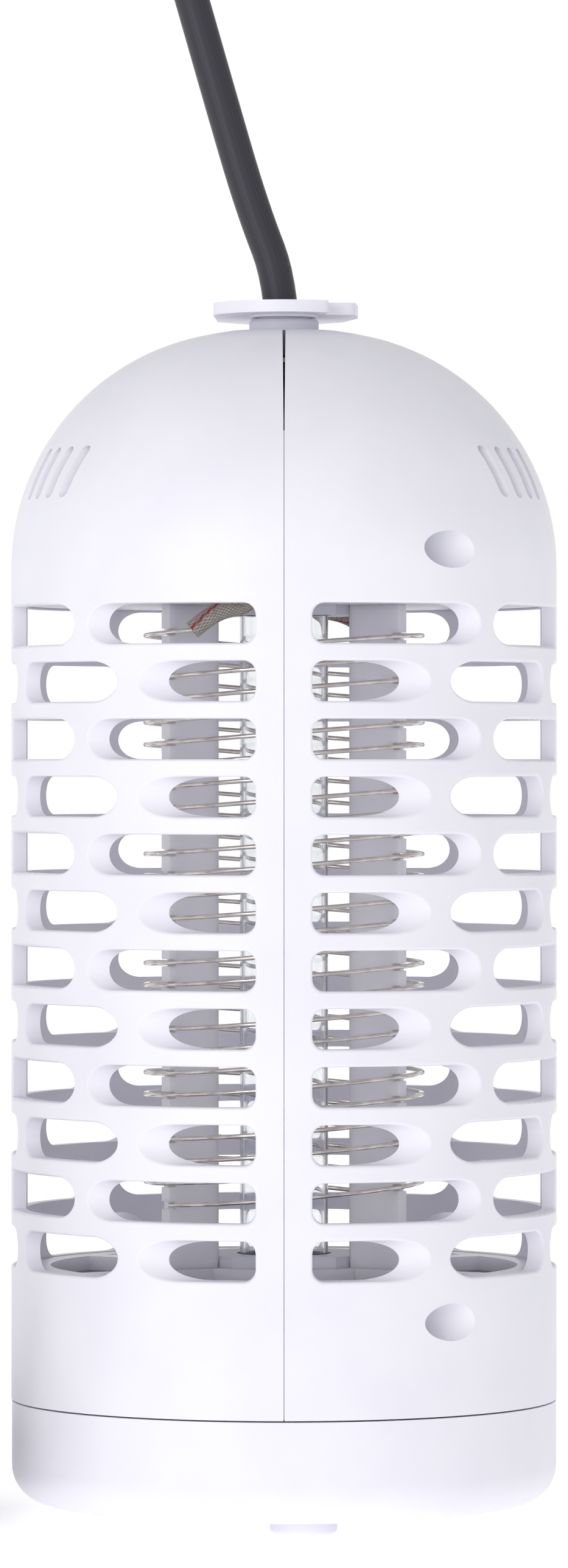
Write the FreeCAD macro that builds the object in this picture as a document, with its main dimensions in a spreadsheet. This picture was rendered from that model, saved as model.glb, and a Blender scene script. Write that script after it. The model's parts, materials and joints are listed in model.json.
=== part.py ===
import FreeCAD, Part
import math
import os
import Sketcher

# Electric bug zapper: a two-shell grille housing with a dome top, a pull-off collection tray,
# a vertical ultraviolet tube inside two interleaved high-voltage wires, a circuit board in the
# dome, a swivelling hanging plate on the neck and a mains lead that leaves through it.
#
# Frame: +Z up, millimetres. The origin is under the middle of the housing, level with the
# bottom of the feet. -Y is the front, and the shells meet on the plane X = 0.

doc = FreeCAD.newDocument("BugZapper")

SIZES = [
    # housing shells
    ("body_radius", 47.85, "outer radius of the housing"),
    ("shell_wall", 2.6, "wall of the shells"),
    ("shell_bottom", 20.5, "height of the shells' lower edge"),
    ("dome_lift", 6.6, "height of the dome's start above the upper carrier"),
    ("shoulder_across", 6.35, "distance of the shoulder's centre from the axis"),
    ("crown_radius", 70.0, "radius of the dome's crown, in section"),
    ("flat_radius", 10.0, "radius of the flat around the neck"),
    ("seam_gap", 0.1, "half of the gap between the shells"),
    ("seam_mouth", 0.16, "how much wider half the gap is at the neck"),
    ("seam_mouth_lift", 24.0, "height above the dome's start where the gap starts to widen"),
    # grille
    ("row_drop", 3.8, "distance of the top row's middle below the upper carrier"),
    ("row_lift", 3.56, "height of the lowest row's middle above the lower carrier"),
    ("slot_half", 3.43, "half of a slot's height"),
    ("rib_half", 4.8, "half of the width of the front and rear ribs"),
    ("slot_corner", 2.1, "corner radius of the slots at those ribs"),
    ("edge_round", 0.5, "rounding of the slots' outer edges"),
    ("a_front_in", 13.85, "odd rows: how far in from the housing the front slot ends"),
    ("a_side_in", 16.85, "odd rows: how far in from the housing the side slot starts"),
    ("a_side_rib", 3.2, "odd rows: half of the side rib"),
    ("b_front_in", 7.05, "even rows: how far in from the housing the front slot ends"),
    ("b_mid_in", 10.05, "even rows: how far in from the housing the middle slot starts"),
    ("b_mid_end", 16.1, "even rows: where the middle slot ends"),
    ("b_side_half", 11.5, "even rows: half of the side slot"),
    ("vent_first", 12.9, "distance of the first vent from the side rib's centre"),
    ("vent_pitch", 4.3, "distance between vents"),
    ("vent_half", 1.1, "half of a vent's width"),
    ("vent_lift", 11.6, "height of the vents above the dome's start"),
    ("vent_tall", 8.9, "height of the vents"),
    # screws that join the shells
    ("boss_radius", 4.7, "radius of the screw bosses"),
    ("boss_in", 7.05, "distance of the bosses from the inside of the shells"),
    ("boss_high_lift", 2.3, "height of the upper bosses above the dome's start"),
    ("boss_low_lift", 16.0, "height of the lower bosses above the shells' lower edge"),
    ("recess_radius", 3.2, "radius of the screw recesses"),
    ("recess_floor", 8.0, "distance of the recess floors from the seam"),
    ("screw_radius", 1.45, "radius of a shell screw's shank"),
    ("screw_head_radius", 2.8, "radius of a shell screw's head"),
    ("screw_head_thick", 2.2, "thickness of a shell screw's head"),
    ("screw_reach", 11.0, "how far a shell screw goes into the left boss"),
    ("screw_slack", 0.1, "clearance around a screw's shank"),
    ("driver_half", 0.45, "half of the width of a screw's cross slot"),
    # carriers that hold the grid inside the shells
    ("ledge_in", 2.6, "how far the shells' ledges stand in"),
    ("ledge_thick", 1.9, "thickness of the ledges"),
    ("carrier_lift", 20.8, "height of the lower carrier above the shells' lower edge"),
    ("lower_carrier_thick", 2.5, "thickness of the lower carrier"),
    ("upper_carrier_lift", 1.7, "height of the upper carrier above the upper holder's mouth"),
    ("upper_carrier_thick", 2.0, "thickness of the upper carrier"),
    ("carrier_gap", 0.25, "clearance of the carriers inside the shells"),
    ("carrier_band", 4.0, "width of the lower carrier's rim"),
    ("spoke_width", 5.0, "width of the lower carrier's spokes"),
    # lamp
    ("tube_radius", 7.75, "radius of the ultraviolet tube"),
    ("tube_glass", 0.8, "wall of the tube's glass"),
    ("tube_length", 136.0, "length of the tube over its caps"),
    ("cap_length", 6.0, "length of the tube's end caps"),
    ("cap_wall", 0.25, "how far the end caps stand out from the tube"),
    ("pin_radius", 1.15, "radius of the tube's pins"),
    ("pin_length", 6.5, "length of the tube's pins"),
    ("pin_across", 2.35, "distance of the pins from the axis"),
    ("holder_half", 11.4, "half of the width of the lamp holders"),
    ("holder_bevel", 2.4, "bevel of the lamp holders' corners"),
    ("holder_gap", 0.3, "clearance around the tube in its holders"),
    ("holder_floor", 2.0, "end wall of the lamp holders"),
    ("lower_holder_lift", 4.5, "height of the lower holder's mouth above the lower carrier's base"),
    ("holder_cover", 12.05, "how much of the tube each holder covers"),
    # high-voltage grid
    ("grid_radius", 24.3, "radius of the grid wires' path"),
    ("wire_radius", 0.4, "radius of the grid wires"),
    ("grid_lift", 10.82, "height of the first grid wire's lower end above the lower carrier"),
    ("grid_drop", 5.2, "distance of the first grid wire's upper end below the upper carrier"),
    ("grid_turns", 13, "turns of each grid wire"),
    ("post_in", 15.0, "inner edge of the comb posts"),
    ("post_proud", 0.9, "how far the comb posts stand out from the wires' path"),
    ("post_thick", 2.4, "thickness of the comb posts"),
    ("post_angle", 35.3, "angle of the comb posts from the X axis"),
    ("notch_depth", 1.5, "depth of the notches in the posts"),
    ("notch_half", 0.65, "half of the width of a notch"),
    ("sleeve_radius", 1.6, "radius of the woven sleeves"),
    ("sleeve_across", 7.2, "distance to the side of the sleeves' upper ends"),
    ("sleeve_forward", 17.4, "distance in front of the axis of the sleeves' upper ends"),
    ("sleeve_room", 1.6, "room around a sleeve in the carrier"),
    # collection tray
    ("tray_inset", 0.1, "how far the tray stands in from the housing"),
    ("tray_gap", 0.3, "gap between the tray and the shells"),
    ("tray_wall", 2.2, "wall of the tray"),
    ("tray_collar", 6.5, "how far the tray's collar reaches into the shells"),
    ("tray_round", 6.5, "rounding of the tray's lower edge"),
    ("foot_height", 2.4, "height of the feet"),
    ("foot_radius", 5.8, "radius of the feet"),
    ("foot_across", 32.0, "distance of the feet from the axis"),
    ("foot_round", 0.9, "rounding of the feet's lower edges"),
    ("foot_turn", -84.0, "angle of the first foot"),
    # neck and hanging plate
    ("neck_radius", 6.1, "radius of the neck bush's collar"),
    ("neck_height", 2.2, "height of the neck bush above the dome"),
    ("neck_stem_radius", 5.6, "radius of the neck bush through the dome"),
    ("neck_stem_gap", 0.1, "clearance of the neck bush in the dome"),
    ("neck_flange", 1.9, "thickness of the neck bush's flange in the dome"),
    ("swivel_radius", 4.5, "radius of the hanging plate's spigot"),
    ("swivel_gap", 0.06, "running clearance of the spigot in the bush"),
    ("swivel_lift", 0.3, "gap between the bush and the hanging plate"),
    ("swivel_past_clip", 2.1, "how far the spigot goes on below its clip"),
    ("clip_radius", 6.3, "radius of the retaining clip"),
    ("clip_thick", 0.8, "thickness of the retaining clip"),
    ("plate_lift", 0.7, "height of the hanging plate above the neck bush"),
    ("plate_thick", 2.1, "thickness of the hanging plate"),
    ("plate_round", 12.4, "radius of the hanging plate around the lead"),
    ("hub_radius", 5.9, "radius of the hub under the plate"),
    ("eye_radius", 4.5, "radius of the hanging eye"),
    ("eye_back", 18.5, "distance of the hanging eye behind the axis"),
    ("eye_side", 0.5, "distance of the hanging eye to the left of the axis"),
    ("eye_rim", 4.4, "width of the plate around the eye"),
    ("throat_left", 7.2, "where the plate's throat begins, right of the axis"),
    ("throat_front", 5.4, "distance of the throat's front corner from the axis"),
    ("throat_back", 3.0, "distance of the throat's back edge from the axis"),
    ("lobe_back", 8.0, "distance of the right lobe's widest place behind the axis"),
    ("plate_corner", 1.6, "radius of the plate's corners"),
    # circuit board in the dome
    ("board_radius", 32.0, "radius of the circuit board"),
    ("board_drop", 15.8, "distance of the circuit board's underside below the spigot"),
    ("board_thick", 1.6, "thickness of the circuit board"),
    # mains lead
    ("lead_radius", 3.0, "radius of the mains lead"),
    ("lead_gap", 0.5, "clearance of the lead in the spigot"),
    ("coil_inner", 29.0, "inner radius of the stored coil"),
    ("coil_outer", 41.0, "outer radius of the stored coil"),
    ("coil_height", 18.0, "height of the stored coil"),
    ("coil_left", 98.0, "distance of the stored coil from the axis"),
    ("plug_length", 36.0, "length of the plug's body"),
    ("plug_width", 35.0, "width of the plug's body"),
    ("plug_thick", 13.8, "thickness of the plug's body"),
    ("plug_pin_length", 19.0, "length of the plug's pins"),
    ("plug_pin_radius", 2.0, "radius of the plug's pins"),
    ("plug_pin_spread", 9.3, "distance of the plug's pins from its middle"),
]

sheet = doc.addObject("Spreadsheet::Sheet", "Dims")
for row, (alias, value, meaning) in enumerate(SIZES, start=1):
    sheet.set(f"A{row}", meaning)
    sheet.set(f"B{row}", str(value))
    sheet.setAlias(f"B{row}", alias)
doc.recompute()

X = FreeCAD.Vector(1, 0, 0)
Y = FreeCAD.Vector(0, 1, 0)
Z = FreeCAD.Vector(0, 0, 1)
nodes = []

# Heights, from the shells' lower edge up, and radii, from the outside of the housing in.
LOWER_CARRIER_BASE = "(Dims.shell_bottom + Dims.carrier_lift)"
LOWER_CARRIER_TOP = f"({LOWER_CARRIER_BASE} + Dims.lower_carrier_thick)"
LOWER_HOLDER_TOP = f"({LOWER_CARRIER_BASE} + Dims.lower_holder_lift)"
UPPER_HOLDER_BASE = f"({LOWER_HOLDER_TOP} + Dims.tube_length - 2 * Dims.holder_cover)"
UPPER_CARRIER_BASE = f"({UPPER_HOLDER_BASE} + Dims.upper_carrier_lift)"
ROW_TOP = f"({UPPER_CARRIER_BASE} - Dims.row_drop)"
ROW_PITCH = f"(({ROW_TOP} - {LOWER_CARRIER_TOP} - Dims.row_lift) / 11)"
GRID_TOP = f"({UPPER_CARRIER_BASE} - Dims.grid_drop)"
GRID_PITCH = f"(({GRID_TOP} - {LOWER_CARRIER_TOP} - Dims.grid_lift) / Dims.grid_turns)"
DOME_START = f"({UPPER_CARRIER_BASE} + Dims.dome_lift)"
SEAM_MOUTH_START = f"({DOME_START} + Dims.seam_mouth_lift)"
VENT_LOW = f"({DOME_START} + Dims.vent_lift)"
VENT_HIGH = f"({VENT_LOW} + Dims.vent_tall)"
BOSS_HIGH = f"({DOME_START} + Dims.boss_high_lift)"
BOSS_LOW = "(Dims.shell_bottom + Dims.boss_low_lift)"
BOSS_ACROSS = "(Dims.body_radius - Dims.shell_wall - Dims.boss_in)"
A_FRONT_END = "(Dims.body_radius - Dims.a_front_in)"
A_SIDE_START = "(Dims.body_radius - Dims.a_side_in)"
B_FRONT_END = "(Dims.body_radius - Dims.b_front_in)"
B_MID_START = "(Dims.body_radius - Dims.b_mid_in)"
TRAY_RADIUS = "(Dims.body_radius - Dims.tray_inset)"
CAP_RADIUS = "(Dims.tube_radius + Dims.cap_wall)"
POST_OUT = "(Dims.grid_radius + Dims.post_proud)"

# The dome: a shoulder arc, a crown arc tangent to it and a flat around the neck.
SHOULDER = "(Dims.body_radius - Dims.shoulder_across)"
CROWN_Z = (
    f"({DOME_START} - sqrt(pow(Dims.crown_radius - {SHOULDER}; 2)"
    " - pow(Dims.shoulder_across; 2)))"
)
DOME_TOP = f"({CROWN_Z} + sqrt(pow(Dims.crown_radius; 2) - pow(Dims.flat_radius; 2)))"
DOME_INSIDE = f"({DOME_TOP} - Dims.shell_wall)"
NECK_TOP = f"({DOME_TOP} + Dims.neck_height)"
NECK_STEM_END = f"({DOME_INSIDE} - Dims.neck_flange)"
CLIP_TOP = f"({NECK_STEM_END} - Dims.swivel_lift)"
CLIP_BASE = f"({CLIP_TOP} - Dims.clip_thick)"
SWIVEL_END = f"({CLIP_BASE} - Dims.swivel_past_clip)"
PLATE_BASE = f"({NECK_TOP} + Dims.plate_lift)"
BOARD_HEIGHT = f"({SWIVEL_END} - Dims.board_drop)"


def number(expression):
    """The value of an expression over the sheet's sizes."""
    result = sheet.evalExpression(expression)
    return float(getattr(result, "Value", result))


def size(alias):
    """One size, straight from the sheet."""
    return float(sheet.get(alias))


def as_node(thing, label):
    """Makes an object one of the sub-parts that are written out."""
    thing.Label = label
    nodes.append(thing)
    return thing


# ---------------------------------------------------------------- primitives


def place(thing, x="0", y="0", z="0", axis=Z):
    """Puts an object where three expressions say, with its own Z along axis."""
    thing.Placement = FreeCAD.Placement(FreeCAD.Vector(), FreeCAD.Rotation(Z, axis))
    for letter, expression in zip("xyz", (x, y, z)):
        thing.setExpression(f"Placement.Base.{letter}", expression)
    return thing


def cylinder(name, radius, height, x="0", y="0", z="0", axis=Z):
    thing = doc.addObject("Part::Cylinder", name)
    thing.setExpression("Radius", radius)
    thing.setExpression("Height", height)
    return place(thing, x, y, z, axis)


def box(name, length, width, height, x, y, z):
    """A box whose middle in X and Y is at (x, y) and whose underside is at z."""
    thing = doc.addObject("Part::Box", name)
    thing.setExpression("Length", length)
    thing.setExpression("Width", width)
    thing.setExpression("Height", height)
    return place(thing, f"({x}) - ({length}) / 2", f"({y}) - ({width}) / 2", z)


def group(name, things):
    """Separate solids that share one node."""
    thing = doc.addObject("Part::Compound", name)
    thing.Links = things
    return thing


def fuse(name, things):
    thing = doc.addObject("Part::MultiFuse", name)
    thing.Shapes = things
    return thing


def cut(name, base, tools):
    thing = doc.addObject("Part::Cut", name)
    thing.Base = base
    thing.Tool = tools[0] if len(tools) == 1 else group(name + "Tools", tools)
    return thing


def tube(name, outer, inner, height, z, x="0", y="0"):
    outside = cylinder(name + "Outside", outer, height, x, y, z)
    inside = cylinder(name + "Inside", inner, f"({height}) + 2", x, y, f"({z}) - 1")
    return cut(name, outside, [inside])


# ------------------------------------------------------- bodies and sketches


def new_body(name):
    return doc.addObject("PartDesign::Body", name)


def sketch_on(body, plane, name, offset="0"):
    """A sketch on one of the body's own origin planes, moved along its normal."""
    sketch = body.newObject("Sketcher::SketchObject", name)
    origin = next(p for p in body.Origin.OriginFeatures if p.Role == plane)
    sketch.AttachmentSupport = (origin, "")
    sketch.MapMode = "FlatFace"
    sketch.setExpression("AttachmentOffset.Base.z", offset)
    return sketch


def fix_point(sketch, geometry, end, x, y):
    """Ties a point of a sketch to two expressions."""
    for kind, expression in (("DistanceX", x), ("DistanceY", y)):
        constraint = Sketcher.Constraint(kind, -1, 1, geometry, end, number(expression))
        index = sketch.addConstraint(constraint)
        sketch.setExpression(f"Constraints[{index}]", expression)


def circle(sketch, x, y, radius):
    centre = FreeCAD.Vector(number(x), number(y), 0)
    index = sketch.addGeometry(Part.Circle(centre, Z, number(radius)), False)
    fix_point(sketch, index, 3, x, y)
    constraint = sketch.addConstraint(Sketcher.Constraint("Radius", index, number(radius)))
    sketch.setExpression(f"Constraints[{constraint}]", radius)


def fix_arc(sketch, arc, start, end, radius):
    """Ties an arc whose ends are fixed: a half circle by its centre, any other by its radius."""
    chord = math.hypot(*(number(b) - number(a) for a, b in zip(start, end)))
    if chord < 1.999 * abs(number(radius)):
        kind, expression = "Radius", f"abs({radius})"
        values = (kind, arc, number(expression))
    else:
        upright = abs(number(start[0]) - number(end[0])) < 0.001
        kind, expression = ("DistanceX", start[0]) if upright else ("DistanceY", start[1])
        values = (kind, -1, 1, arc, 3, number(expression))
    index = sketch.addConstraint(Sketcher.Constraint(*values))
    sketch.setExpression(f"Constraints[{index}]", expression)


def outline(sketch, points, arcs=None):
    """A closed outline through (x, y) pairs of expressions. arcs maps the number of a point to
    the radius expression of the arc that runs on from it, anticlockwise, or clockwise with a
    minus sign before it."""
    arcs = arcs or {}
    corners = [FreeCAD.Vector(number(x), number(y), 0) for x, y in points]
    first = sketch.GeometryCount
    for i, start in enumerate(corners):
        end = corners[(i + 1) % len(corners)]
        if i in arcs:
            signed = number(arcs[i])
            middle = (start + end) / 2
            chord = end - start
            across = FreeCAD.Vector(-chord.y, chord.x, 0).normalize()
            rise = math.sqrt(max(signed**2 - (chord.Length / 2) ** 2, 0))
            centre = middle + across * math.copysign(rise, signed)
            bulge = centre - across * signed
            edge = Part.Arc(start, bulge, end)
        else:
            edge = Part.LineSegment(start, end)
        sketch.addGeometry(edge, False)
    for i, (x, y) in enumerate(points):
        here, before = first + i, first + (i - 1) % len(points)
        # an arc drawn clockwise is stored the other way round
        start_end = 2 if number(arcs.get(i, "1")) < 0 else 1
        before_end = 1 if number(arcs.get((i - 1) % len(points), "1")) < 0 else 2
        sketch.addConstraint(Sketcher.Constraint("Coincident", before, before_end, here, start_end))
        fix_point(sketch, here, start_end, x, y)
        if i in arcs:
            fix_arc(sketch, here, points[i], points[(i + 1) % len(points)], arcs[i])


def revolve(body, sketch, name, angle=360, reverse=False):
    feature = body.newObject("PartDesign::Revolution", name)
    feature.Profile = sketch
    feature.ReferenceAxis = (sketch, ["V_Axis"])
    feature.Angle = angle
    feature.Reversed = reverse
    return feature


def pad(body, sketch, name, length, reverse=False):
    feature = body.newObject("PartDesign::Pad", name)
    feature.Profile = sketch
    feature.setExpression("Length", length)
    feature.Reversed = reverse
    return feature


def pocket(body, sketch, name, length="300", reverse=False, both=False):
    feature = body.newObject("PartDesign::Pocket", name)
    feature.Profile = sketch
    feature.setExpression("Length", length)
    feature.Reversed = reverse
    feature.Midplane = both
    return feature


def pattern(body, feature, sketch, name, length, count, reverse):
    """Repeats a feature along its sketch's vertical axis."""
    repeat = body.newObject("PartDesign::LinearPattern", name)
    repeat.Originals = [feature]
    repeat.Direction = (sketch, ["V_Axis"])
    repeat.setExpression("Length", length)
    repeat.Occurrences = count
    repeat.Reversed = reverse
    body.Tip = repeat
    return repeat


def turned(label, points, arcs=None):
    """A sub-part of revolution about the Z axis, from its half section in (radius, height)."""
    body = new_body("".join(word.title() for word in label.split("_")))
    sketch = sketch_on(body, "XZ_Plane", body.Name + "Section")
    outline(sketch, points, arcs)
    revolve(body, sketch, body.Name + "Turn")
    return body


def prism(label, points, base, height, arcs=None, holes=()):
    """An upright prism, from its plan, with round holes (x, y, radius)."""
    body = new_body("".join(word.title() for word in label.split("_")))
    sketch = sketch_on(body, "XY_Plane", body.Name + "Plan", base)
    outline(sketch, points, arcs)
    for x, y, radius in holes:
        circle(sketch, x, y, radius)
    pad(body, sketch, body.Name + "Pad", height)
    return body


# ------------------------------------------------------------ housing shells

INNER = "(Dims.body_radius - Dims.shell_wall)"
NECK_HOLE = "(Dims.neck_stem_radius + Dims.neck_stem_gap)"
UPPER_LEDGE = f"({UPPER_CARRIER_BASE} + Dims.upper_carrier_thick + Dims.carrier_gap)"
LOWER_LEDGE = LOWER_CARRIER_BASE


def dome_points(inset):
    """The dome's two arcs, from the shoulder to the flat, for a surface that far inside."""
    share = f"((Dims.crown_radius - {inset}) / (Dims.crown_radius - {SHOULDER}))"
    flat = f"({DOME_TOP} - {inset})"
    return [
        (f"Dims.body_radius - {inset}", DOME_START),
        (f"Dims.shoulder_across * {share}", f"{CROWN_Z} + ({DOME_START} - {CROWN_Z}) * {share}"),
        (f"sqrt(pow(Dims.crown_radius - {inset}; 2) - pow({flat} - {CROWN_Z}; 2))", flat),
    ]


def shell_section():
    """Half section of the shells: wall, dome, the hole for the neck bush and two ledges."""
    ledge = f"({INNER} - Dims.ledge_in)"
    points = [("Dims.body_radius", "Dims.shell_bottom")]
    points += dome_points("0")
    points += [(NECK_HOLE, DOME_TOP), (NECK_HOLE, f"{DOME_TOP} - Dims.shell_wall")]
    points += reversed(dome_points("Dims.shell_wall"))
    points += [
        (INNER, f"{UPPER_LEDGE} + Dims.ledge_thick"),
        (ledge, f"{UPPER_LEDGE} + Dims.ledge_thick"),
        (ledge, UPPER_LEDGE),
        (INNER, UPPER_LEDGE),
        (INNER, LOWER_LEDGE),
        (ledge, LOWER_LEDGE),
        (ledge, f"{LOWER_LEDGE} - Dims.ledge_thick"),
        (INNER, f"{LOWER_LEDGE} - Dims.ledge_thick"),
        (INNER, "Dims.shell_bottom"),
    ]
    arcs = {
        1: SHOULDER,
        2: "Dims.crown_radius",
        6: "-(Dims.crown_radius - Dims.shell_wall)",
        7: f"-({SHOULDER} - Dims.shell_wall)",
    }
    return points, arcs


def slot_outline(sketch, start, end, row, square_start=False):
    """A slot from start to end along Y, with full round ends, at the height of row."""
    low, high = f"({row}) - Dims.slot_half", f"({row}) + Dims.slot_half"
    near = start if square_start else f"({start}) + Dims.slot_half"
    far = f"({end}) - Dims.slot_half"
    points = [(near, low), (far, low), (far, high), (near, high)]
    arcs = {1: "Dims.slot_half"}
    if not square_start:
        arcs[3] = "Dims.slot_half"
    outline(sketch, points, arcs)


def mirrored_slot(sketch, start, end, row, square_start=False):
    """The same slot on the rear half and on the front half."""
    slot_outline(sketch, start, end, row, square_start)
    low, high = f"({row}) - Dims.slot_half", f"({row}) + Dims.slot_half"
    near = f"-({start})" if square_start else f"-({start}) - Dims.slot_half"
    far = f"-({end}) + Dims.slot_half"
    points = [(far, low), (near, low), (near, high), (far, high)]
    arcs = {3: "Dims.slot_half"}
    if not square_start:
        arcs[1] = "Dims.slot_half"
    outline(sketch, points, arcs)


def edge_names(shape, wanted):
    return [f"Edge{i}" for i, edge in enumerate(shape.Edges, start=1) if wanted(edge)]


def is_slot_corner(edge):
    """The short edges across the wall where a slot's roof and floor meet the front and rear ribs."""
    if not isinstance(edge.Curve, Part.Line) or abs(edge.tangentAt(edge.FirstParameter).y) < 0.99:
        return False
    middle = edge.CenterOfMass
    grille = number(f"{ROW_TOP} - 11.6 * {ROW_PITCH}") < middle.z < number(ROW_TOP) + 5
    at_rib = abs(abs(middle.x) - size("rib_half")) < 0.01
    return grille and at_rib and abs(middle.y) > number(B_FRONT_END)


def is_outer_slot_edge(edge):
    """The slots' and vents' edges on the outside of the housing, but none on the seam."""
    points = edge.discretize(5)
    low = number(f"{ROW_TOP} - 11.6 * {ROW_PITCH}")
    if edge.Length < 0.01 or min(p.z for p in points) < low:
        return False
    if max(p.z for p in points) > number(ROW_TOP) + 5:
        return False
    if any(abs(math.hypot(p.x, p.y) - size("body_radius")) > 0.01 for p in points):
        return False
    return any(abs(p.x) > 1 for p in points)


def fillet(body, wanted, radius, name):
    feature = body.newObject("PartDesign::Fillet", name)
    base = body.Tip if body.Tip is not feature else feature.BaseFeature
    feature.Base = (base, edge_names(base.Shape, wanted))
    feature.setExpression("Radius", radius)
    body.Tip = feature
    return feature


def shell(label, right):
    """Half of the housing. Everything is cut outwards, away from the seam, as it is moulded."""
    side = "1" if right else "-1"
    body = new_body("RightShell" if right else "LeftShell")
    section = sketch_on(body, "YZ_Plane", body.Name + "Section")
    outline(section, *shell_section())
    revolve(body, section, body.Name + "Wall", 180, right)

    bosses = sketch_on(body, "YZ_Plane", body.Name + "BossPlan")
    for across in (BOSS_ACROSS, f"-{BOSS_ACROSS}"):
        for height in (BOSS_HIGH, BOSS_LOW):
            circle(bosses, across, height, "Dims.boss_radius")
    pad(body, bosses, body.Name + "Bosses", "Dims.body_radius", not right)
    outside = sketch_on(body, "YZ_Plane", body.Name + "Outside")
    far = "Dims.body_radius * 2"
    around = [("Dims.body_radius", "0")] + dome_points("0")
    around += [(around[-1][0], f"{DOME_TOP} * 1.2"), (far, f"{DOME_TOP} * 1.2"), (far, "0")]
    outline(outside, around, {1: SHOULDER, 2: "Dims.crown_radius"})
    trim = body.newObject("PartDesign::Groove", body.Name + "Trim")
    trim.Profile = outside
    trim.ReferenceAxis = (outside, ["V_Axis"])
    trim.Angle = 360

    seam = sketch_on(body, "XZ_Plane", body.Name + "SeamSection")
    gap = f"{side} * Dims.seam_gap"
    wide = f"{side} * (Dims.seam_gap + Dims.seam_mouth)"
    past = f"{side} * -1"
    outline(seam, [
        (past, "0"), (gap, "0"), (gap, SEAM_MOUTH_START),
        (wide, DOME_TOP), (wide, f"{DOME_TOP} + 5"), (past, f"{DOME_TOP} + 5"),
    ])
    pocket(body, seam, body.Name + "Seam", "4 * Dims.body_radius", both=True)

    screws = sketch_on(body, "YZ_Plane", body.Name + "ScrewPlan")
    for across in (BOSS_ACROSS, f"-{BOSS_ACROSS}"):
        for height in (BOSS_HIGH, BOSS_LOW):
            circle(screws, across, height, "Dims.screw_radius + Dims.screw_slack")
    depth = "Dims.recess_floor + 1" if right else "Dims.screw_reach + 1"
    pocket(body, screws, body.Name + "ScrewHoles", depth, right)
    if right:
        recess = sketch_on(body, "YZ_Plane", "RecessPlan", "Dims.recess_floor")
        for across in (BOSS_ACROSS, f"-{BOSS_ACROSS}"):
            for height in (BOSS_HIGH, BOSS_LOW):
                circle(recess, across, height, "Dims.recess_radius")
        pocket(body, recess, "Recesses", "Dims.body_radius", True)

    reach = "2 * Dims.body_radius"
    start = f"{side} * Dims.rib_half"
    odd = sketch_on(body, "YZ_Plane", body.Name + "OddRow", start)
    mirrored_slot(odd, "Dims.a_side_rib", A_SIDE_START, ROW_TOP, True)
    mirrored_slot(odd, A_FRONT_END, "2 * Dims.body_radius", ROW_TOP)
    odd_cut = pocket(body, odd, body.Name + "OddCut", reach, right)
    even = sketch_on(body, "YZ_Plane", body.Name + "EvenRow", start)
    row = f"{ROW_TOP} - {ROW_PITCH}"
    slot_outline(even, "-Dims.b_side_half", "Dims.b_side_half", row)
    mirrored_slot(even, "Dims.b_mid_end", B_MID_START, row)
    mirrored_slot(even, B_FRONT_END, "2 * Dims.body_radius", row)
    rows = f"10 * {ROW_PITCH}"
    pattern(body, odd_cut, odd, body.Name + "OddRows", rows, 6, True)
    even_cut = pocket(body, even, body.Name + "EvenCut", reach, right)
    pattern(body, even_cut, even, body.Name + "EvenRows", rows, 6, True)

    vents = sketch_on(body, "YZ_Plane", body.Name + "VentPlan", start)
    for i in range(4):
        for sign in ("", "-"):
            middle = f"{sign}(Dims.vent_first + {i} * Dims.vent_pitch)"
            left, right_edge = f"{middle} - Dims.vent_half", f"{middle} + Dims.vent_half"
            low = f"{VENT_LOW} + Dims.vent_half"
            high = f"{VENT_HIGH} - Dims.vent_half"
            outline(
                vents,
                [(left, low), (right_edge, low), (right_edge, high), (left, high)],
                {0: "Dims.vent_half", 2: "Dims.vent_half"},
            )
    pocket(body, vents, body.Name + "Vents", reach, right)
    doc.recompute()
    fillet(body, is_slot_corner, "Dims.slot_corner", body.Name + "SlotCorners")
    doc.recompute()
    fillet(body, is_outer_slot_edge, "Dims.edge_round", body.Name + "SlotEdges")
    return as_node(body, label)


shell("left_shell", False)
shell("right_shell", True)


def shell_screw(index, across, height):
    """One screw along X: a pan head in its recess and a shank into the left boss."""
    name = f"ShellScrew{index}"
    head_end = "Dims.recess_floor + Dims.screw_head_thick"
    head = cylinder(
        name + "Head", "Dims.screw_head_radius", "Dims.screw_head_thick",
        "Dims.recess_floor", across, height, X,
    )
    shank = cylinder(
        name + "Shank", "Dims.screw_radius", "Dims.recess_floor + Dims.screw_reach",
        "-Dims.screw_reach", across, height, X,
    )
    cross = [
        box(
            name + "Slot" + way, "1.2", width, depth,
            f"{head_end}", across, f"({height}) - ({depth}) / 2",
        )
        for way, width, depth in (
            ("A", "Dims.driver_half * 2", "Dims.screw_head_radius * 1.3"),
            ("B", "Dims.screw_head_radius * 1.3", "Dims.driver_half * 2"),
        )
    ]
    return cut(name, fuse(name + "Blank", [head, shank]), [fuse(name + "Cross", cross)])


places = [
    (across, height)
    for across in (BOSS_ACROSS, f"-{BOSS_ACROSS}")
    for height in (BOSS_HIGH, BOSS_LOW)
]
screws = [shell_screw(i, across, height) for i, (across, height) in enumerate(places, start=1)]
as_node(group("ShellScrews", screws), "shell_screws")

# --------------------------------------------------------- carriers and lamp


def holder_plan(grow="0"):
    """Square with bevelled corners: the plan of the lamp holders, or of the hole they pass."""
    half = f"(Dims.holder_half + {grow})"
    short = f"(Dims.holder_half - Dims.holder_bevel + {grow})"
    return [
        (f"-{short}", f"-{half}"), (short, f"-{half}"), (half, f"-{short}"), (half, short),
        (short, half), (f"-{short}", half), (f"-{half}", short), (f"-{half}", f"-{short}"),
    ]


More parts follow.
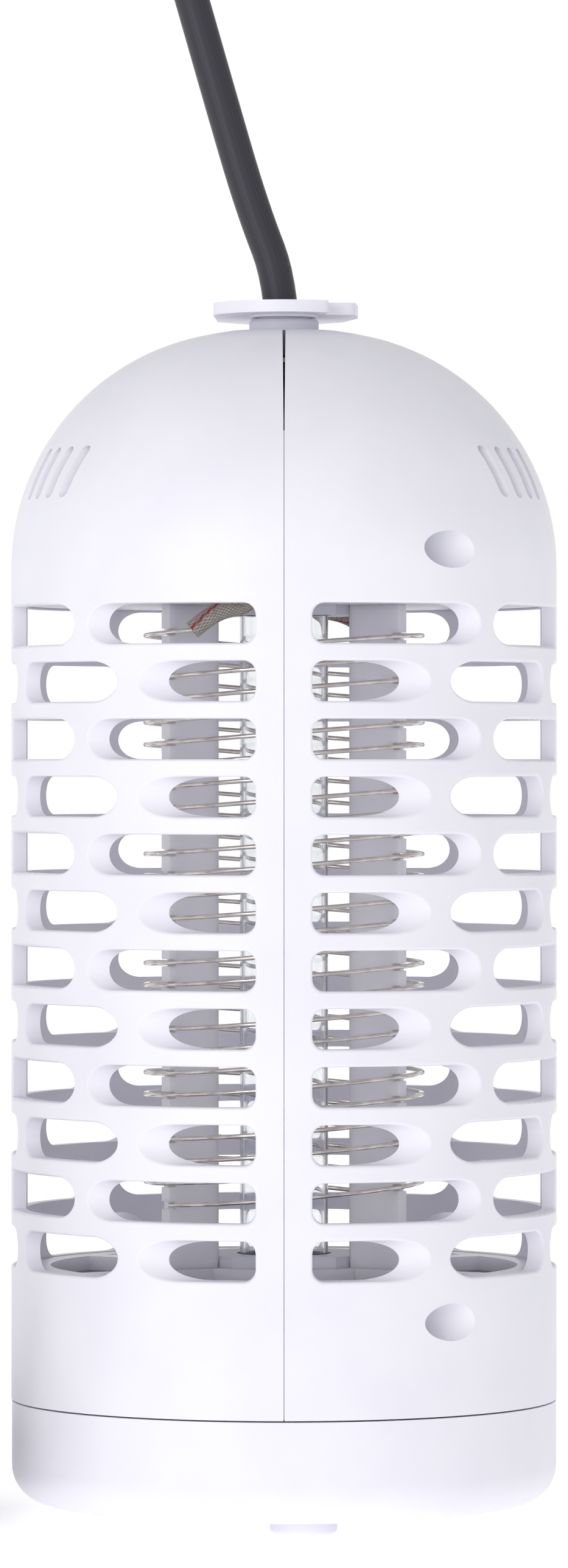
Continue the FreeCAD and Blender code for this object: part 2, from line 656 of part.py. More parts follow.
HOLDER_HOLE = "Dims.carrier_gap"
TUBE_BASE = f"(({LOWER_HOLDER_TOP} + {UPPER_HOLDER_BASE} - Dims.tube_length) / 2)"
TUBE_TOP = f"({TUBE_BASE} + Dims.tube_length)"
HOLDER_BORE = f"({CAP_RADIUS} + Dims.holder_gap)"
CARRIER_RADIUS = f"({INNER} - Dims.carrier_gap)"
SOCKET_RADIUS = "(Dims.pin_across + Dims.pin_radius + 0.6)"


def lamp_holder(label, base, top, mouth_up):
    """A block around one end of the tube, with a smaller well for the pins behind it."""
    block = prism(label + "_block", holder_plan(), base, f"{top} - {base}")
    inner = "Dims.holder_floor + Dims.pin_length + 0.1"
    if mouth_up:
        bore = cylinder(label + "Bore", HOLDER_BORE, f"{top}", z=f"{base} + {inner}")
        well = cylinder(label + "Well", SOCKET_RADIUS, f"{top}", z=f"{base} + Dims.holder_floor")
    else:
        bore = cylinder(label + "Bore", HOLDER_BORE, f"{top} - {inner}")
        well = cylinder(label + "Well", SOCKET_RADIUS, f"{top} - Dims.holder_floor")
    return as_node(cut(label + "Body", block, [fuse(label + "Hollow", [bore, well])]), label)


lower_base = f"({TUBE_BASE} - Dims.pin_length - Dims.holder_floor - 0.1)"
upper_top = f"({TUBE_TOP} + Dims.pin_length + Dims.holder_floor + 0.1)"
lamp_holder("lower_lamp_holder", lower_base, LOWER_HOLDER_TOP, True)
lamp_holder("upper_lamp_holder", UPPER_HOLDER_BASE, upper_top, False)

inner_length = "(Dims.tube_length - 2 * Dims.cap_length)"
glass = tube(
    "UvTube", "Dims.tube_radius", "Dims.tube_radius - Dims.tube_glass",
    inner_length, f"{TUBE_BASE} + Dims.cap_length",
)
as_node(glass, "uv_tube")
caps = [
    cylinder("LowerCap", CAP_RADIUS, "Dims.cap_length", z=TUBE_BASE),
    cylinder("UpperCap", CAP_RADIUS, "Dims.cap_length", z=f"{TUBE_TOP} - Dims.cap_length"),
]
as_node(group("TubeCaps", caps), "tube_end_caps")
pins = [
    cylinder(f"TubePin{end}{side}", "Dims.pin_radius", "Dims.pin_length", f"{sign}Dims.pin_across", z=z)
    for end, z in (("Low", f"{TUBE_BASE} - Dims.pin_length"), ("High", TUBE_TOP))
    for side, sign in (("A", ""), ("B", "-"))
]
as_node(group("TubePins", pins), "tube_pins")


def upper_carrier():
    """Disc that closes the grille from above and carries the posts, the holder and the board."""
    body = new_body("UpperCarrier")
    plan = sketch_on(body, "XY_Plane", "UpperCarrierPlan", UPPER_CARRIER_BASE)
    circle(plan, "0", "0", CARRIER_RADIUS)
    outline(plan, holder_plan(HOLDER_HOLE))
    for sign in ("", "-"):
        across, forward = f"{sign}(-Dims.sleeve_across)", f"{sign}(-Dims.sleeve_forward)"
        circle(plan, across, forward, "Dims.sleeve_radius + Dims.sleeve_room")
    pad(body, plan, "UpperCarrierPad", "Dims.upper_carrier_thick")
    as_node(body, "upper_carrier")


upper_carrier()


def lower_carrier():
    """Rim, four spokes under the posts and a hub around the lower holder, open in between."""
    base, thick = LOWER_CARRIER_BASE, "Dims.lower_carrier_thick"
    rim = tube(
        "LowerRim", CARRIER_RADIUS, f"{CARRIER_RADIUS} - Dims.carrier_band", thick, base,
    )
    bars = []
    for turn in (1, -1):
        bar = box(
            f"Spokes{'A' if turn > 0 else 'B'}", f"2 * ({CARRIER_RADIUS} - 1)",
            "Dims.spoke_width", thick, "0", "0", base,
        )
        angle = f"{turn} * Dims.post_angle"
        along, up = f"cos({angle} * 1deg)", f"sin({angle} * 1deg)"
        half, across = f"({CARRIER_RADIUS} - 1)", "Dims.spoke_width / 2"
        bar.Placement = FreeCAD.Placement(FreeCAD.Vector(), FreeCAD.Rotation(Z, 1))
        bar.setExpression("Placement.Rotation.Angle", angle)
        bar.setExpression("Placement.Base.x", f"-{half} * {along} + {across} * {up}")
        bar.setExpression("Placement.Base.y", f"-{half} * {up} - {across} * {along}")
        bars.append(bar)
    hub = cylinder("LowerHub", "Dims.holder_half * 1.5", thick, z=base)
    hole = prism("lower_hub_hole", holder_plan(HOLDER_HOLE), f"{base} - 1", f"{thick} + 2")
    as_node(cut("LowerCarrier", fuse("LowerCarrierBlank", [rim, hub] + bars), [hole]), "lower_carrier")


lower_carrier()


# -------------------------------------------------------- high-voltage grid

grid_radius, half_pitch = size("grid_radius"), number(GRID_PITCH) / 2
grid_top, grid_turns = number(GRID_TOP), int(size("grid_turns"))
post_angle = math.radians(size("post_angle"))
POST_RISE = f"({GRID_PITCH} / 4 * (1 - cos(Dims.post_angle * 1deg)))"
GRID_BASE = f"({GRID_TOP} - Dims.grid_turns * {GRID_PITCH})"


def half_turn(index, start=0.0, end=math.pi):
    """Part of one half turn of a wire: a circular arc whose plane is tilted by half the pitch.
    Even ones run along the front, from left to right, and odd ones back along the rear."""
    side = 1 if index % 2 == 0 else -1
    low = grid_top - (2 * grid_turns - index) * half_pitch
    centre = FreeCAD.Vector(0, 0, low + half_pitch / 2)
    left = FreeCAD.Vector(-side * grid_radius, 0, -half_pitch / 2)
    out = FreeCAD.Vector(0, -side * left.Length, 0)

    def at(angle):
        return centre + left * math.cos(angle) + out * math.sin(angle)

    return Part.Arc(at(start), at((start + end) / 2), at(end)).toShape()


def grid_wire(label, turn):
    """One wire, from the foot of its first post up to its woven sleeve."""
    edges = [half_turn(0, post_angle)]
    edges += [half_turn(i) for i in range(1, 2 * grid_turns)]
    edges.append(half_turn(2 * grid_turns, 0.0, math.radians(50)))
    path = Part.Wire(edges)
    start = edges[0].firstVertex().Point
    section = Part.Wire(Part.Circle(start, edges[0].tangentAt(edges[0].FirstParameter),
                                    size("wire_radius")).toShape())
    wire = doc.addObject("Part::Feature", "".join(word.title() for word in label.split("_")))
    wire.Shape = path.makePipeShell([section], True, False)
    wire.Placement = FreeCAD.Placement(FreeCAD.Vector(), FreeCAD.Rotation(Z, turn))
    return as_node(wire, label)


grid_wire("grid_wire_live", 0)
grid_wire("grid_wire_return", 180)


def comb_post(label, turn, first_notch, count):
    """A fin that stands between the carriers, notched where each run of wire crosses it."""
    body = new_body("".join(word.title() for word in label.split("_")))
    plan = sketch_on(body, "XY_Plane", body.Name + "Plan", LOWER_CARRIER_TOP)
    across = "Dims.post_thick / 2"
    outline(plan, [
        ("Dims.post_in", f"-{across}"), (POST_OUT, f"-{across}"),
        (POST_OUT, across), ("Dims.post_in", across),
    ])
    pad(body, plan, body.Name + "Pad", f"{UPPER_CARRIER_BASE} - {LOWER_CARRIER_TOP}")
    notch = sketch_on(body, "XZ_Plane", body.Name + "Notch")
    floor = f"{POST_OUT} - Dims.notch_depth + Dims.notch_half"
    low, high = f"{first_notch} - Dims.notch_half", f"{first_notch} + Dims.notch_half"
    outline(
        notch,
        [(f"{POST_OUT} + 1", low), (f"{POST_OUT} + 1", high), (floor, high), (floor, low)],
        {2: "Dims.notch_half"},
    )
    cut_ = pocket(body, notch, body.Name + "Cut", "4 * Dims.post_thick", both=True)
    length = f"{count - 1} * {GRID_PITCH} / 2"
    pattern(body, cut_, notch, body.Name + "Notches", length, count, False)
    body.Placement = FreeCAD.Placement(FreeCAD.Vector(), FreeCAD.Rotation(Z, 1))
    body.setExpression("Placement.Rotation.Angle", turn)
    return as_node(body, label)


on_start = f"({GRID_BASE} + {POST_RISE})"
off_start = f"({GRID_BASE} + {GRID_PITCH} / 2 - {POST_RISE})"
comb_post("comb_post_front_left", "180 + Dims.post_angle", on_start, 2 * grid_turns + 1)
comb_post("comb_post_rear_right", "Dims.post_angle", on_start, 2 * grid_turns + 1)
comb_post("comb_post_front_right", "-Dims.post_angle", off_start, 2 * grid_turns)
comb_post("comb_post_rear_left", "180 - Dims.post_angle", off_start, 2 * grid_turns)


def woven_sleeve(label, turn):
    """A woven tube over the wire's end, up through the upper carrier."""
    lean = math.radians(50)
    rise = half_pitch / 2 * (1 - math.cos(lean))
    start = FreeCAD.Vector(
        -grid_radius * math.cos(lean), -grid_radius * math.sin(lean), grid_top + rise
    )
    end = FreeCAD.Vector(-size("sleeve_across"), -size("sleeve_forward"), number(UPPER_LEDGE) + 1.0)
    bend = start + (end - start) * 0.45 + FreeCAD.Vector(2.0, -0.3, -1.0)
    direction = (end - start).normalize()
    path = Part.Wire(Part.Arc(start + direction * 0.3, bend, end).toShape())
    edge = path.Edges[0]
    section = Part.Wire(Part.Circle(edge.valueAt(edge.FirstParameter),
                                    edge.tangentAt(edge.FirstParameter),
                                    size("sleeve_radius")).toShape())
    sleeve = doc.addObject("Part::Feature", "".join(word.title() for word in label.split("_")))
    sleeve.Shape = path.makePipeShell([section], True, False)
    sleeve.Placement = FreeCAD.Placement(FreeCAD.Vector(), FreeCAD.Rotation(Z, turn))
    return as_node(sleeve, label)


woven_sleeve("wire_sleeve_left", 0)
woven_sleeve("wire_sleeve_right", 180)


# ------------------------------------------------------------ collection tray

TRAY_TOP = "(Dims.shell_bottom - Dims.tray_gap)"
COLLAR_RADIUS = f"({INNER} - Dims.tray_gap)"
COLLAR_INSIDE = f"({COLLAR_RADIUS} - Dims.tray_wall)"
TRAY_FLOOR = "(Dims.foot_height + Dims.tray_wall)"
INSIDE_ROUND = "(Dims.tray_round - Dims.tray_wall)"


def collection_tray():
    """Shallow cup under the grille, with a collar inside the shells and three moulded feet."""
    body = new_body("CollectionTray")
    section = sketch_on(body, "XZ_Plane", "TraySection")
    outline(section, [
        ("0", "Dims.foot_height"),
        (f"{TRAY_RADIUS} - Dims.tray_round", "Dims.foot_height"),
        (TRAY_RADIUS, "Dims.foot_height + Dims.tray_round"),
        (TRAY_RADIUS, TRAY_TOP),
        (COLLAR_RADIUS, TRAY_TOP),
        (COLLAR_RADIUS, "Dims.shell_bottom + Dims.tray_collar"),
        (COLLAR_INSIDE, "Dims.shell_bottom + Dims.tray_collar"),
        (COLLAR_INSIDE, f"Dims.foot_height + Dims.tray_wall + {INSIDE_ROUND}"),
        (f"{COLLAR_INSIDE} - {INSIDE_ROUND}", TRAY_FLOOR),
        ("0", TRAY_FLOOR),
    ], {1: "Dims.tray_round", 7: f"-{INSIDE_ROUND}"})
    revolve(body, section, "TrayTurn")
    for i in range(3):
        angle = f"((Dims.foot_turn + {120 * i}) * 1deg)"
        plan = sketch_on(body, "XY_Plane", f"Foot{i + 1}Plan")
        x, y = f"Dims.foot_across * cos({angle})", f"Dims.foot_across * sin({angle})"
        circle(plan, x, y, "Dims.foot_radius")
        pad(body, plan, f"Foot{i + 1}", "Dims.foot_height + 0.5")
    doc.recompute()
    fillet(body, is_foot_rim, "Dims.foot_round", "FootEdges")
    return as_node(body, "collection_tray")


def is_foot_rim(edge):
    return edge.BoundBox.ZMax < 0.01


collection_tray()


# ------------------------------------------------------ neck and hanging plate

NECK_BORE = "(Dims.swivel_radius + Dims.swivel_gap)"
as_node(turned("neck_bush", [
    (NECK_BORE, NECK_STEM_END),
    ("Dims.neck_radius + 1.9", NECK_STEM_END),
    ("Dims.neck_radius + 1.9", f"{DOME_INSIDE} - 0.05"),
    ("Dims.neck_stem_radius", f"{DOME_INSIDE} - 0.05"),
    ("Dims.neck_stem_radius", DOME_TOP),
    ("Dims.neck_radius", DOME_TOP),
    ("Dims.neck_radius", f"{NECK_TOP} - 0.7"),
    ("Dims.neck_radius - 0.7", NECK_TOP),
    (NECK_BORE, NECK_TOP),
], {6: "0.7"}), "neck_bush")

CLIP_SEAT = "(Dims.swivel_radius - 0.5)"
LEAD_BORE = "(Dims.lead_radius + Dims.lead_gap)"


def hanging_plate():
    """Swivelling plate: a spigot through the neck, a throat at the right and an eye behind."""
    body = new_body("HangingPlate")
    stem = sketch_on(body, "XZ_Plane", "SpigotSection")
    hub_base = f"{NECK_TOP} + Dims.swivel_lift"
    outline(stem, [
        (LEAD_BORE, SWIVEL_END),
        ("Dims.swivel_radius", SWIVEL_END),
        ("Dims.swivel_radius", f"{CLIP_BASE} - 0.05"),
        (CLIP_SEAT, f"{CLIP_BASE} - 0.05"),
        (CLIP_SEAT, f"{CLIP_TOP} + 0.05"),
        ("Dims.swivel_radius", f"{CLIP_TOP} + 0.05"),
        ("Dims.swivel_radius", hub_base),
        ("Dims.hub_radius", hub_base),
        ("Dims.hub_radius", f"{PLATE_BASE} + 0.5"),
        (LEAD_BORE, f"{PLATE_BASE} + 0.5"),
    ])
    revolve(body, stem, "Spigot")
    plan = sketch_on(body, "XY_Plane", "HangingPlatePlan", PLATE_BASE)
    round_ = "Dims.plate_round"
    throat_mouth = "(Dims.throat_left + 0.7)"
    eye_rim = "(Dims.eye_back + Dims.eye_radius + Dims.eye_rim - 0.2)"
    outline(plan, [
        (f"-{round_}", "0"),
        (throat_mouth, f"-sqrt(pow({round_}; 2) - pow({throat_mouth}; 2))"),
        ("Dims.throat_left", "-Dims.throat_front"),
        ("Dims.throat_left", "-Dims.throat_back"),
        (f"{round_} + 0.1", "-Dims.throat_back"),
        (f"{round_} + 0.7", "Dims.lobe_back"),
        (f"{round_} - 1.9", "Dims.eye_back + 1.5"),
        ("Dims.eye_radius - 0.5", eye_rim),
        ("-Dims.eye_radius - 1", f"{eye_rim} + 0.4"),
        (f"-{round_} + 0.6", "Dims.eye_back + 0.5"),
    ], {0: round_})
    circle(plan, "0", "0", LEAD_BORE)
    circle(plan, "-Dims.eye_side", "Dims.eye_back", "Dims.eye_radius")
    pad(body, plan, "HangingPlatePad", "Dims.plate_thick")
    doc.recompute()
    fillet(body, is_plate_corner, "Dims.plate_corner", "PlateCorners")
    return as_node(body, "hanging_plate")


def is_plate_corner(edge):
    """The plate's upright outer corners, and not the round holes' seams."""
    middle = edge.CenterOfMass
    upright = edge.BoundBox.ZLength > size("plate_thick") - 0.6
    away = math.hypot(middle.x, middle.y) > number(LEAD_BORE) + 2
    from_eye = math.hypot(middle.x + size("eye_side"), middle.y - size("eye_back"))
    eye = from_eye > size("eye_radius") + 0.5
    front = middle.x < -size("plate_round") + 0.1 and abs(middle.y) < 0.1
    inner = abs(middle.x - size("throat_left")) < 0.1 and middle.y < -size("throat_back") - 1
    return upright and away and eye and not front and not inner


hanging_plate()

clip_gap = box(
    "ClipGap", "Dims.clip_radius", "4", "Dims.clip_thick + 2",
    "Dims.clip_radius", "0", f"{CLIP_BASE} - 1",
)
clip_ring = tube("ClipRing", "Dims.clip_radius", f"{CLIP_SEAT} + 0.05", "Dims.clip_thick", CLIP_BASE)
as_node(cut("SwivelClip", clip_ring, [clip_gap]), "swivel_clip")


# ----------------------------------------------------- circuit in the dome

BOARD_TOP = f"({BOARD_HEIGHT} + Dims.board_thick)"
CARRIER_TOP = f"({UPPER_CARRIER_BASE} + Dims.upper_carrier_thick)"
STANDOFF_ACROSS = "(Dims.board_radius - 5)"
LEAD_END = f"({SWIVEL_END} - 0.3)"
CLAMP_TOP = f"({LEAD_END} - 2)"

board = cylinder("CircuitBoard", "Dims.board_radius", "Dims.board_thick", z=BOARD_HEIGHT)
standoffs, board_screws, board_holes = [], [], []
for i in range(4):
    angle = f"({45 + 90 * i} * 1deg)"
    x, y = f"{STANDOFF_ACROSS} * cos({angle})", f"{STANDOFF_ACROSS} * sin({angle})"
    height = f"{BOARD_HEIGHT} - {CARRIER_TOP}"
    post = cylinder(f"Standoff{i}", "3", height, x, y, CARRIER_TOP)
    hole = cylinder(f"StandoffHole{i}", "1.3", "10", x, y, f"{BOARD_HEIGHT} - 8")
    standoffs.append(cut(f"StandoffPost{i}", post, [hole]))
    board_holes.append(cylinder(f"BoardHole{i}", "1.4", "5", x, y, f"{BOARD_HEIGHT} - 1"))
    screw_head = cylinder(f"BoardScrewHead{i}", "2.5", "1.6", x, y, BOARD_TOP)
    screw_shank = cylinder(f"BoardScrewShank{i}", "1.2", "7", x, y, f"{BOARD_TOP} - 7")
    board_screws.append(fuse(f"BoardScrew{i}", [screw_head, screw_shank]))
as_node(cut("CircuitBoardDrilled", board, board_holes), "circuit_board")
as_node(group("BoardStandoffs", standoffs), "board_standoffs")
as_node(group("BoardScrews", board_screws), "board_screws")

PARTS_ABOVE = [
    ("FilmCapacitorA", 18, 7, 11, 0, 18),
    ("FilmCapacitorB", 18, 7, 11, 0, -14),
]
PARTS_BELOW = [
    ("FilmCapacitorC", 7, 16, 12, 23.5, 0),
    ("FilmCapacitorD", 16, 7, 12, 0, 21),
]
films = [
    box(name, str(length), str(width), str(height), str(x), str(y), BOARD_TOP)
    for name, length, width, height, x, y in PARTS_ABOVE
]
films += [
    box(name, str(length), str(width), str(height), str(x), str(y), f"{BOARD_HEIGHT} - {height}")
    for name, length, width, height, x, y in PARTS_BELOW
]
as_node(group("FilmCapacitors", films), "film_capacitors")
choke_core = box("ChokeCore", "16", "12", "11", "-23.5", "0", f"{BOARD_HEIGHT} - 11")
choke_coil = box("ChokeCoil", "9", "9.5", "13", "-23.5", "0", f"{BOARD_HEIGHT} - 13")
as_node(fuse("LampChoke", [choke_core, choke_coil]), "lamp_choke")
diodes = [
    cylinder(f"Diode{i}", "1.4", "5.2", str(-10 + 5 * i), "-24", f"{BOARD_TOP} + 1.4", Y)
    for i in range(5)
]
as_node(group("Diodes", diodes), "diodes")
resistors = [
    cylinder(
        f"Resistor{i}", "1.8", "9", "-4.5", str(-18 - 4.6 * i),
        f"{BOARD_HEIGHT} - 1.8", X,
    )
    for i in range(2)
]
as_node(group("Resistors", resistors), "resistors")

clamp_block = box("ClampBlock", "16", "11", f"{CLAMP_TOP} - {BOARD_TOP}", "0", "0", BOARD_TOP)
clamp_tools = [
    cylinder("ClampBore", "Dims.lead_radius + 0.05", "40", z=f"{BOARD_TOP} - 1"),
    cylinder("ClampScrewHoleA", "1.3", "14", "5.6", z=f"{CLAMP_TOP} - 9"),
    cylinder("ClampScrewHoleB", "1.3", "14", "-5.6", z=f"{CLAMP_TOP} - 9"),
]
as_node(cut("LeadClamp", clamp_block, clamp_tools), "lead_clamp")
clamp_screws = [
    fuse(f"ClampScrew{side}", [
        cylinder(f"ClampScrewHead{side}", "2.2", "1.4", x, z=CLAMP_TOP),
        cylinder(f"ClampScrewShank{side}", "1.2", "8", x, z=f"{CLAMP_TOP} - 8"),
    ])
    for side, x in (("A", "5.6"), ("B", "-5.6"))
]
as_node(group("ClampScrews", clamp_screws), "clamp_screws")
lead_end = cylinder("LeadEnd", "Dims.lead_radius", f"{LEAD_END} - {BOARD_TOP} - 1", z=f"{BOARD_TOP} + 1")
as_node(lead_end, "lead_inner_end")


# ---------------------------------------------------------------- mains lead


def rounded_path(route):
    """Straight runs joined by tangent arcs, each as large as its two runs allow."""
    edges, at, radii = [], route[0], []
    for before, corner, after in zip(route, route[1:], route[2:]):
        into, out = corner - before, after - corner
        turn = into.getAngle(out)
        trim = 0.45 * min(into.Length, out.Length)
        radii.append(trim / math.tan(turn / 2))
        first = corner - into.normalize() * trim
        last = corner + out.normalize() * trim
        inward = (out - into).normalize()
        middle = corner + inward * radii[-1] * (1 / math.cos(turn / 2) - 1)
        edges.append(Part.LineSegment(at, first).toShape())
        edges.append(Part.Arc(first, middle, last).toShape())
        at = last
    edges.append(Part.LineSegment(at, route[-1]).toShape())
    return Part.Wire(edges), radii


def lead_tube(label, points):
    """A stretch of the lead, whose volume has to be its section times its length."""
    route = [FreeCAD.Vector(*point) for point in points]
    path, radii = rounded_path(route)
    radius = size("lead_radius")
    section = Part.Wire(Part.Circle(route[0], route[1] - route[0], radius).toShape())
    shape = path.makePipeShell([section], True, False)
    expected = math.pi * radius**2 * path.Length
    print(f"{label}: {path.Length:.0f} mm, radii {', '.join(f'{r:.0f}' for r in radii)}")
    if abs(shape.Volume / expected - 1) > 0.01:
        raise RuntimeError(f"{label} has a bad volume: {shape.Volume} for {expected}")
    lead = doc.addObject("Part::Feature", "".join(word.title() for word in label.split("_")))
    lead.Shape = shape
    return as_node(lead, label)


# Up through the swivel, leaning left, over a loose arch and down beside the housing to its coil.
RISING_LEAD = [
    (0.0, 0.0, 199.5),
    (0.0, 0.0, 215.0),
    (-5.6, -0.3, 229.3),
    (-11.2, -0.6, 248.5),
    (-18.2, -2.0, 273.0),
    (-24.3, -5.6, 293.0),
    (-37.3, -13.0, 307.2),
    (-54.9, -22.9, 311.0),
    (-71.4, -32.2, 303.1),
    (-81.8, -38.1, 286.0),
    (-84.5, -40.4, 264.0),
    (-83.5, -41.6, 232.0),
    (-80.5, -41.0, 186.0),
    (-75.0, -43.5, 142.0),
    (-69.0, -46.0, 104.0),
    (-65.5, -47.5, 72.0),
    (-63.0, -47.5, 48.0),
    (-61.5, -38.5, 29.5),
    (-60.5, -23.0, 17.3),
    (-60.0, -4.0, 15.0),
]
# From under the coil to the plug.
LEAD_TAIL = [
    (-98.0, 38.0, 3.0),
    (-116.0, 37.5, 3.0),
    (-131.5, 34.6, 4.7),
    (-147.0, 30.5, 6.9),
]
lead_tube("mains_lead", RISING_LEAD)
lead_tube("mains_lead_tail", LEAD_TAIL)

coil = turned("lead_coil", [
    ("Dims.coil_inner", "2.5"),
    ("Dims.coil_inner + 2.5", "0"),
    ("Dims.coil_outer - 2.5", "0"),
    ("Dims.coil_outer", "2.5"),
    ("Dims.coil_outer", "Dims.coil_height - 2.5"),
    ("Dims.coil_outer - 2.5", "Dims.coil_height"),
    ("Dims.coil_inner + 2.5", "Dims.coil_height"),
    ("Dims.coil_inner", "Dims.coil_height - 2.5"),
], {0: "2.5", 2: "2.5", 4: "2.5", 6: "2.5"})
coil.setExpression("Placement.Base.x", "-Dims.coil_left")
as_node(coil, "lead_coil")

PLUG_X, PLUG_Y = "-146.0", "30.5"
narrow, wide = "6.5", "Dims.plug_width / 2"
plug = prism("plug_body", [
    (PLUG_X, f"{PLUG_Y} + {narrow}"),
    (f"{PLUG_X} - 9", f"{PLUG_Y} + {narrow} + 1.5"),
    (f"{PLUG_X} - Dims.plug_length + 8", f"{PLUG_Y} + {wide}"),
    (f"{PLUG_X} - Dims.plug_length", f"{PLUG_Y} + {wide}"),
    (f"{PLUG_X} - Dims.plug_length", f"{PLUG_Y} - {wide}"),
    (f"{PLUG_X} - Dims.plug_length + 8", f"{PLUG_Y} - {wide}"),
    (f"{PLUG_X} - 9", f"{PLUG_Y} - {narrow} - 1.5"),
    (PLUG_X, f"{PLUG_Y} - {narrow}"),
], "0", "Dims.plug_thick")
as_node(plug, "plug_body")
plug_pins = [
    cylinder(
        f"PlugPin{side}", "Dims.plug_pin_radius", "Dims.plug_pin_length",
        f"{PLUG_X} - Dims.plug_length", f"{PLUG_Y} {side_sign} Dims.plug_pin_spread",
        "Dims.plug_thick / 2", X * -1,
    )
    for side, side_sign in (("A", "+"), ("B", "-"))
]
as_node(group("PlugPins", plug_pins), "plug_pins")


# ------------------------------------------------------------------- writing

doc.recompute()
for thing in doc.Objects:
    if {"Invalid", "Error"} & set(thing.State):
        raise RuntimeError(f"{thing.Name} failed: {thing.State}")
for node in nodes:
    if node.Shape.isNull() or not node.Shape.isValid():
        raise RuntimeError(f"{node.Label} has no valid shape")
    print(f"{node.Label}: {len(node.Shape.Solids)} solids, {node.Shape.Volume:.0f} mm3")

os.makedirs("parts", exist_ok=True)
for node in nodes:
    node.Shape.exportStep(f"parts/{node.Label}.step")
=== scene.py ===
import json
import math

import bmesh
import bpy
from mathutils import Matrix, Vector


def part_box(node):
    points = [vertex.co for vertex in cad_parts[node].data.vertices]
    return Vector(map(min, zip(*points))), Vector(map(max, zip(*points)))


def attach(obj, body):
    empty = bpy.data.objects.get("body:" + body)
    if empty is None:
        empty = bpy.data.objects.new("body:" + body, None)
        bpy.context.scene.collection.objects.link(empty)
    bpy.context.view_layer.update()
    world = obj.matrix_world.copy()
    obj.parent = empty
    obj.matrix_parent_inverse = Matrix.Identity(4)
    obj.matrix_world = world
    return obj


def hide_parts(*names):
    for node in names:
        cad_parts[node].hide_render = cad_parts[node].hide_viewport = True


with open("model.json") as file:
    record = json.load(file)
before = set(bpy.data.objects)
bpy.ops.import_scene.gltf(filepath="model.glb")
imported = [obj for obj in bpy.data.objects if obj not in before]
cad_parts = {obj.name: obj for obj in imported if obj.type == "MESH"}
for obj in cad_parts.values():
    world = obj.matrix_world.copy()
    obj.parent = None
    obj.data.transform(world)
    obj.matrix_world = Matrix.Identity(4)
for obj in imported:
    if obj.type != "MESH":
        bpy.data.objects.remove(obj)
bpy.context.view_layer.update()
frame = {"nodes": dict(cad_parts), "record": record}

MM = 0.001
LEAD_RADIUS = 3.0 * MM


def add_object(name, data):
    """A new object of the scene."""
    added = bpy.data.objects.new(name, data)
    bpy.context.scene.collection.objects.link(added)
    return added


# ------------------------------------------------------------ camera and light

CAMERA_PLACE = (0.0, -1.290, 0.1322)
CAMERA_LENS = 168.6
CAMERA_SHIFT = -0.01475

KEY_PLACE = (-0.85, -1.4, 0.45)
KEY_AIM = (0.0, 0.0, 0.11)
KEY_SIDE = 0.9
KEY_POWER = 5.5

# The surround's strength is 1 low down and to the left. It falls to CEILING overhead and by
# RIGHT_SIDE to the right, while a unit direction's part that way grows from FROM to TO.
CEILING, CEILING_FROM, CEILING_TO = 0.66, 0.12, 0.45
RIGHT_SIDE, RIGHT_FROM, RIGHT_TO = 0.76, 0.2, 0.9


def make_camera():
    """Level, in front of the housing, a little above half its height."""
    data = bpy.data.cameras.new("Camera")
    data.sensor_width = 36.0
    data.lens = CAMERA_LENS
    data.shift_y = CAMERA_SHIFT
    data.clip_start = 0.05
    camera = add_object("Camera", data)
    camera.location = CAMERA_PLACE
    camera.rotation_euler = (math.radians(90), 0.0, 0.0)
    bpy.context.scene.camera = camera


def make_key_light():
    """A square soft box in front, to the left."""
    data = bpy.data.lights.new("KeyBox", "AREA")
    data.shape = "RECTANGLE"
    data.size = data.size_y = KEY_SIDE
    data.energy = KEY_POWER
    light = add_object("KeyBox", data)
    light.location = KEY_PLACE
    towards = Vector(KEY_AIM) - Vector(KEY_PLACE)
    light.rotation_euler = towards.to_track_quat("-Z", "Y").to_euler()


def make_lights():
    """White studio: a surround that dulls overhead and to the right, and a soft box in front."""
    world = bpy.data.worlds.new("Surround")
    bpy.context.scene.world = world
    world.use_nodes = True
    tree = world.node_tree
    around = add_node(tree, "ShaderNodeTexCoord")
    parts = add_node(tree, "ShaderNodeSeparateXYZ", {"Vector": (around, "Generated")})
    overhead = add_node(tree, "ShaderNodeMapRange", {
        "Value": (parts, "Z"), "From Min": CEILING_FROM, "From Max": CEILING_TO,
        "To Min": 1.0, "To Max": CEILING,
    })
    right = add_node(tree, "ShaderNodeMapRange", {
        "Value": (parts, "X"), "From Min": RIGHT_FROM, "From Max": RIGHT_TO,
        "To Min": 1.0, "To Max": RIGHT_SIDE,
    })
    strength = add_node(tree, "ShaderNodeMath", {
        0: (overhead, "Result"), 1: (right, "Result"),
    }, operation="MULTIPLY")
    background = tree.nodes["Background"]
    background.inputs["Color"].default_value = (1.0, 1.0, 1.0, 1.0)
    tree.links.new(strength.outputs["Value"], background.inputs["Strength"])
    make_key_light()
    view = bpy.context.scene.view_settings
    view.view_transform = "Standard"
    view.look = "None"


# ------------------------------------------------------------------- materials


def linear(hex_colour):
    """An sRGB hex value as a linear colour."""
    channels = [int(hex_colour[i : i + 2], 16) / 255 for i in (1, 3, 5)]
    scaled = [c / 12.92 if c <= 0.04045 else ((c + 0.055) / 1.055) ** 2.4 for c in channels]
    return (*scaled, 1.0)


def add_node(tree, kind, inputs=None, **settings):
    """A node with its settings, and its inputs as values or as (node, output) links."""
    node = tree.nodes.new(kind)
    for name, value in settings.items():
        setattr(node, name, value)
    for name, value in (inputs or {}).items():
        if isinstance(value, tuple) and hasattr(value[0], "outputs"):
            tree.links.new(value[0].outputs[value[1]], node.inputs[name])
        else:
            node.inputs[name].default_value = value
    return node


